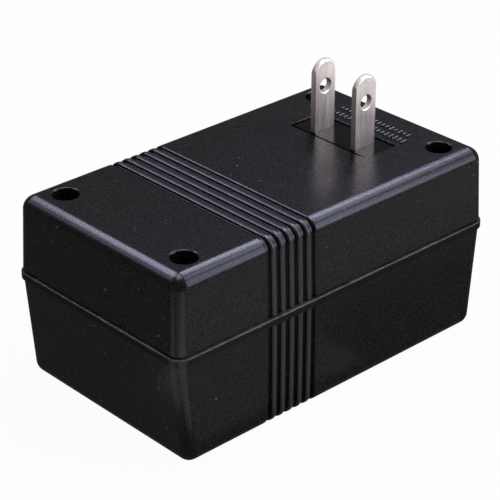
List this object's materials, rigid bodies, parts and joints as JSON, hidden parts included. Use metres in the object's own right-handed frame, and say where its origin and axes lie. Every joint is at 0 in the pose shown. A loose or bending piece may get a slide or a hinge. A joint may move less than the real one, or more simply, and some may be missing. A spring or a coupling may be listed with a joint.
{
  "type": "travel voltage converter",
  "caption": "Black two-shell travel voltage converter with flat plug blades on one side, an outlet on the other and a strapped transformer inside.",
  "frame": {"origin": "middle of the front face, the one with the outlet, on which it lies", "axes": "+Z from the front face to the rear face and along the plug blades, +X along the case to the end with the blades, +Y across it"},
  "size_m": [0.0926, 0.0538, 0.0613],
  "materials": {
    "case_plastic": "satin black moulded plastic with a fine spark texture",
    "insert_plastic": "smooth black plastic",
    "blade_nickel": "brushed nickel plate on brass, bright at the bevels",
    "contact_brass": "sprung brass",
    "screw_steel": "zinc plated steel",
    "core_steel": "varnished electrical steel laminations",
    "strap_steel": "zinc plated steel strip",
    "bobbin_nylon": "natural nylon",
    "winding_copper": "enamelled copper wire",
    "winding_tape": "yellow polyester tape",
    "pin_tin": "tinned pins",
    "cutout_can": "plain can",
    "lead_black": "PVC insulation",
    "lead_red": "PVC insulation",
    "lead_blue": "PVC insulation"
  },
  "bodies": {
    "root": {"rear_shell": "case_plastic", "front_shell": "case_plastic", "case_screws": "screw_steel", "blade_carrier": "insert_plastic", "blade_clamp": "insert_plastic", "clamp_screws": "screw_steel", "plug_blade_left": "blade_nickel", "plug_blade_right": "blade_nickel", "socket_body": "insert_plastic", "socket_contact_left": "contact_brass", "socket_contact_right": "contact_brass", "socket_cover": "insert_plastic", "socket_screws": "screw_steel", "core_e_stack": "core_steel", "core_i_stack": "core_steel", "core_strap": "strap_steel", "strap_screws": "screw_steel", "bobbin": "bobbin_nylon", "input_winding": "winding_copper", "output_winding": "winding_copper", "winding_tapes": "winding_tape", "terminal_pins": "pin_tin", "thermal_cutout": "cutout_can", "lead_input_direct": "lead_blue", "lead_input_to_cutout": "lead_black", "lead_cutout_to_blade": "lead_black", "lead_output_right": "lead_red", "lead_output_left": "lead_blue"}
  },
  "joints": []
}
